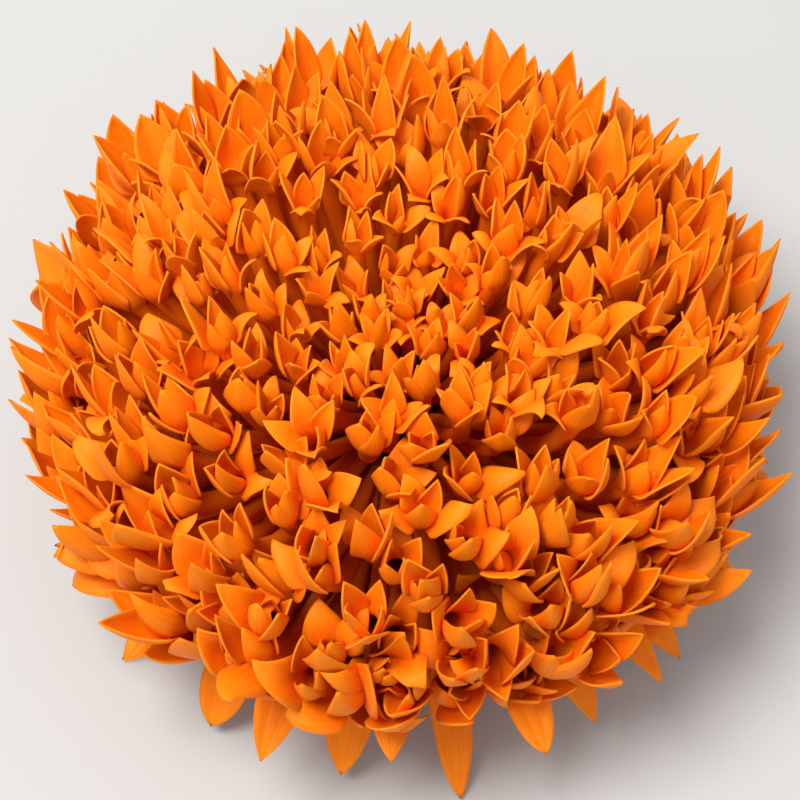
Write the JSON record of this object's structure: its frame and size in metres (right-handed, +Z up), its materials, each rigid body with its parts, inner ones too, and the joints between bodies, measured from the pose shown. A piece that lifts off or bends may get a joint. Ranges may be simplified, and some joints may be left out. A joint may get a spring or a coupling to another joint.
{
  "type": "marigold flower head",
  "caption": "Fully double marigold flower head, picked below its green cup; rests face up on its stalk stub and lowest ray florets as a loose or garland bloom.",
  "frame": {"origin": "on the surface the head rests on, below the centre of its bounding box", "axes": "+Z up, out of the face of the flower and along its stalk; X and Y across the head"},
  "size_m": [0.0962, 0.0986, 0.0524],
  "materials": {
    "orange_petal": "matte, velvety, saturated orange with faint lengthwise veins and red-orange depths",
    "green_cup": "satin green skin with shallow ribs",
    "green_stalk": "satin green skin, pale at the cut end"
  },
  "bodies": {
    "root": {"cup": "green_cup", "lower_ray_floret_01": "orange_petal", "lower_ray_floret_02": "orange_petal", "lower_ray_floret_03": "orange_petal", "lower_ray_floret_04": "orange_petal", "lower_ray_floret_05": "orange_petal", "lower_ray_floret_06": "orange_petal", "lower_ray_floret_07": "orange_petal", "lower_ray_floret_08": "orange_petal", "lower_ray_floret_09": "orange_petal", "lower_ray_floret_10": "orange_petal", "lower_ray_floret_11": "orange_petal", "lower_ray_floret_12": "orange_petal", "lower_ray_floret_13": "orange_petal", "lower_ray_floret_14": "orange_petal", "lower_ray_floret_15": "orange_petal", "lower_ray_floret_16": "orange_petal", "lower_ray_floret_17": "orange_petal", "quill_floret_row_01": "orange_petal", "quill_floret_row_02": "orange_petal", "quill_floret_row_03": "orange_petal", "quill_floret_row_04": "orange_petal", "quill_floret_row_05": "orange_petal", "quill_floret_row_06": "orange_petal", "quill_floret_row_07": "orange_petal", "quill_floret_row_08": "orange_petal", "quill_floret_row_09": "orange_petal", "quill_floret_row_10": "orange_petal", "stalk": "green_stalk", "upper_ray_floret_01": "orange_petal", "upper_ray_floret_02": "orange_petal", "upper_ray_floret_03": "orange_petal", "upper_ray_floret_04": "orange_petal", "upper_ray_floret_05": "orange_petal", "upper_ray_floret_06": "orange_petal", "upper_ray_floret_07": "orange_petal", "upper_ray_floret_08": "orange_petal", "upper_ray_floret_09": "orange_petal", "upper_ray_floret_10": "orange_petal", "upper_ray_floret_11": "orange_petal", "upper_ray_floret_12": "orange_petal", "upper_ray_floret_13": "orange_petal", "upper_ray_floret_14": "orange_petal", "upper_ray_floret_15": "orange_petal", "upper_ray_floret_16": "orange_petal", "upper_ray_floret_17": "orange_petal"}
  },
  "joints": []
}
